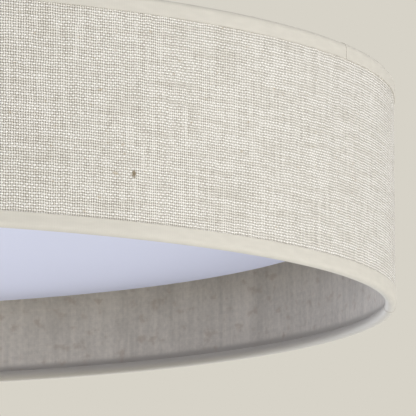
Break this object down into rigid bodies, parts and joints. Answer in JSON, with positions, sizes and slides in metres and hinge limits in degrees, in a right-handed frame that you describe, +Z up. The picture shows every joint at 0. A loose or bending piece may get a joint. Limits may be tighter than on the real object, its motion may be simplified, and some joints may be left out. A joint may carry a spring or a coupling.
{
  "type": "flush mount ceiling light",
  "caption": "Shallow round linen drum shade with rolled edges round a recessed opal diffuser, under a white metal tray with an LED ring, driver and slotted ceiling bracket.",
  "frame": {"origin": "middle of the ceiling plane, between the two bracket slots", "axes": "+Z up into the ceiling; +X along the bracket and its slots; the light hangs to -Z"},
  "size_m": [0.5007, 0.5008, 0.083],
  "materials": {
    "linen": "plain weave, natural slubs",
    "liner": "stiff satin sheet behind the linen",
    "tape": "fine ribbed tape",
    "hoop_steel": "white coated wire",
    "white_steel": "white powder coat",
    "zinc": "bright zinc plate",
    "opal": "opal acrylic, satin",
    "board": "white solder mask on aluminium",
    "chip": "yellow phosphor",
    "white_plastic": "moulded, satin",
    "grey_plastic": "moulded, satin",
    "lever_plastic": "moulded, gloss",
    "rubber": "moulded",
    "sheath": "cable sheath",
    "earth_sheath": "cable sheath"
  },
  "bodies": {
    "fixture": {"shade_linen": "linen", "shade_liner": "liner", "top_trim": "tape", "bottom_trim": "tape", "top_hoop": "hoop_steel", "bottom_hoop": "hoop_steel", "shade_arms": "white_steel", "base_pan": "white_steel", "diffuser_catches": "zinc", "shade_studs": "zinc", "mounting_bracket": "zinc", "hanging_screws": "zinc", "lock_nuts": "zinc", "cap_nuts": "zinc", "cable_grommet": "rubber", "led_board": "board", "led_chips": "chip", "board_connector": "white_plastic", "driver_case": "white_plastic", "driver_cover": "white_plastic", "terminal_block": "grey_plastic", "supply_leads": "sheath", "led_leads": "sheath", "earth_lead": "earth_sheath"},
    "diffuser": {"diffuser": "opal"},
    "washer_1": {"nut_washer_1": "zinc"},
    "nut_1": {"thumb_nut_1": "zinc"},
    "washer_2": {"nut_washer_2": "zinc"},
    "nut_2": {"thumb_nut_2": "zinc"},
    "washer_3": {"nut_washer_3": "zinc"},
    "nut_3": {"thumb_nut_3": "zinc"},
    "lever_1": {"terminal_lever_1": "lever_plastic"},
    "lever_2": {"terminal_lever_2": "lever_plastic"},
    "lever_3": {"terminal_lever_3": "lever_plastic"}
  },
  "joints": [
    {"name": "diffuser_twist", "type": "hinge", "parent": "fixture", "child": "diffuser", "pos_m": [0, 0, -0.016], "axis": [0, 0, -1], "range_deg": [0, 12]},
    {"name": "washer_drop_1", "type": "slide", "parent": "fixture", "child": "washer_1", "axis": [0, 0, -1], "range_m": [0, 0.0035]},
    {"name": "nut_turn_1", "type": "hinge", "parent": "washer_1", "child": "nut_1", "pos_m": [0, 0.1986, -0.018], "axis": [0, 0, -1], "range_deg": [0, 1800]},
    {"name": "washer_drop_2", "type": "slide", "parent": "fixture", "child": "washer_2", "axis": [0, 0, -1], "range_m": [0, 0.0035]},
    {"name": "nut_turn_2", "type": "hinge", "parent": "washer_2", "child": "nut_2", "pos_m": [-0.17199, -0.0993, -0.018], "axis": [0, 0, -1], "range_deg": [0, 1800]},
    {"name": "washer_drop_3", "type": "slide", "parent": "fixture", "child": "washer_3", "axis": [0, 0, -1], "range_m": [0, 0.0035]},
    {"name": "nut_turn_3", "type": "hinge", "parent": "washer_3", "child": "nut_3", "pos_m": [0.17199, -0.0993, -0.018], "axis": [0, 0, -1], "range_deg": [0, 1800]},
    {"name": "lever_open_1", "type": "hinge", "parent": "fixture", "child": "lever_1", "pos_m": [-0.053, 0.042, -0.0223], "axis": [0, 1, 0], "range_deg": [0, 85]},
    {"name": "lever_open_2", "type": "hinge", "parent": "fixture", "child": "lever_2", "pos_m": [-0.053, 0.05, -0.0223], "axis": [0, 1, 0], "range_deg": [0, 85]},
    {"name": "lever_open_3", "type": "hinge", "parent": "fixture", "child": "lever_3", "pos_m": [-0.053, 0.058, -0.0223], "axis": [0, 1, 0], "range_deg": [0, 85]}
  ],
  "couplings": [
    {"joint": "nut_turn_1", "follows": "washer_drop_1", "rad_per_m": 8976},
    {"joint": "nut_turn_2", "follows": "washer_drop_2", "rad_per_m": 8976},
    {"joint": "nut_turn_3", "follows": "washer_drop_3", "rad_per_m": 8976}
  ]
}
